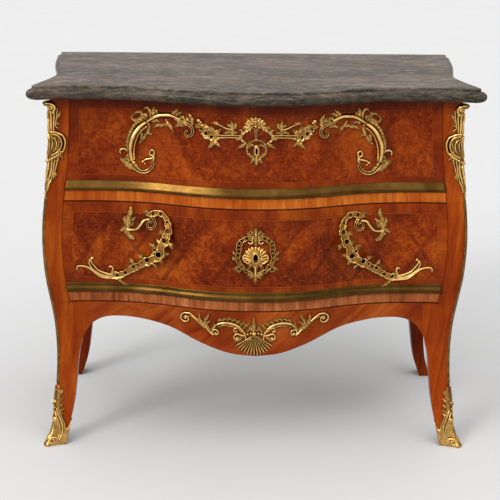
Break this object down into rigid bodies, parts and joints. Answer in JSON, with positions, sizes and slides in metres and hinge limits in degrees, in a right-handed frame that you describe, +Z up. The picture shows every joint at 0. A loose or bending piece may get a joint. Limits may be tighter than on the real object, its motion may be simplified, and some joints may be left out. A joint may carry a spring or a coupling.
{
  "type": "commode chest",
  "caption": "Bombe commode chest on curved legs, with a moulded marble top, serpentine drawers with running slides, locks, and cast gilt mounts and pulls.",
  "frame": {"origin": "on the floor under the middle of the marble top", "axes": "+X to the right seen from the front, +Y to the back, +Z up"},
  "size_m": [1.044, 0.562, 0.88],
  "materials": {
    "marble": "polished dark grey-brown breccia with pale horizontal veins",
    "veneer": "polished quartered and cross-banded veneer over a solid ground",
    "carcass_wood": "plain planed oak",
    "drawer_lining": "plain planed oak, unpolished",
    "gilt_bronze": "cast, chased and gilt",
    "dark_brass": "drawn half-round moulding, dark patina",
    "lock_brass": "filed",
    "iron": "dark wrought iron"
  },
  "bodies": {
    "carcass": {"apron_shell_mount": "gilt_bronze", "back_panel": "carcass_wood", "bottom_front_rail": "carcass_wood", "bottom_panel": "carcass_wood", "bottom_rear_rail": "carcass_wood", "divider_front_rail": "carcass_wood", "divider_rear_rail": "carcass_wood", "dust_panel": "carcass_wood", "front_apron": "veneer", "front_left_post": "veneer", "front_right_post": "veneer", "glue_blocks": "carcass_wood", "left_corner_mount": "gilt_bronze", "left_corner_strip": "gilt_bronze", "left_kicker": "carcass_wood", "left_sabot": "gilt_bronze", "left_side_panel": "veneer", "lower_left_runner": "carcass_wood", "lower_right_runner": "carcass_wood", "marble_top": "marble", "rear_left_post": "veneer", "rear_right_post": "veneer", "rear_stops": "carcass_wood", "right_corner_mount": "gilt_bronze", "right_corner_strip": "gilt_bronze", "right_kicker": "carcass_wood", "right_sabot": "gilt_bronze", "right_side_panel": "veneer", "top_front_rail": "carcass_wood", "top_rear_rail": "carcass_wood", "upper_left_runner": "carcass_wood", "upper_right_runner": "carcass_wood"},
    "upper_drawer": {"upper_drawer_front": "veneer", "upper_drawer_moulding": "dark_brass", "upper_drawer_left_side": "drawer_lining", "upper_drawer_right_side": "drawer_lining", "upper_drawer_back": "drawer_lining", "upper_drawer_bottom": "drawer_lining", "upper_lock_case": "iron", "upper_pull_studs": "iron", "upper_left_pull": "gilt_bronze", "upper_right_pull": "gilt_bronze", "upper_cartouche": "gilt_bronze", "left_garland": "gilt_bronze", "right_garland": "gilt_bronze"},
    "lower_drawer": {"lower_drawer_front": "veneer", "lower_drawer_moulding": "dark_brass", "lower_drawer_left_side": "drawer_lining", "lower_drawer_right_side": "drawer_lining", "lower_drawer_back": "drawer_lining", "lower_drawer_bottom": "drawer_lining", "lower_lock_case": "iron", "lower_pull_studs": "iron", "lower_left_pull": "gilt_bronze", "lower_right_pull": "gilt_bronze", "lower_cartouche": "gilt_bronze"},
    "upper_bolt": {"upper_lock_bolt": "lock_brass"},
    "lower_bolt": {"lower_lock_bolt": "lock_brass"}
  },
  "joints": [
    {"name": "upper_drawer_slide", "type": "slide", "parent": "carcass", "child": "upper_drawer", "axis": [0, -1, 0], "range_m": [0, 0.32]},
    {"name": "lower_drawer_slide", "type": "slide", "parent": "carcass", "child": "lower_drawer", "axis": [0, -1, 0], "range_m": [0, 0.32]},
    {"name": "upper_bolt_slide", "type": "slide", "parent": "upper_drawer", "child": "upper_bolt", "axis": [0, 0, 1], "range_m": [0, 0.008]},
    {"name": "lower_bolt_slide", "type": "slide", "parent": "lower_drawer", "child": "lower_bolt", "axis": [0, 0, 1], "range_m": [0, 0.008]}
  ]
}
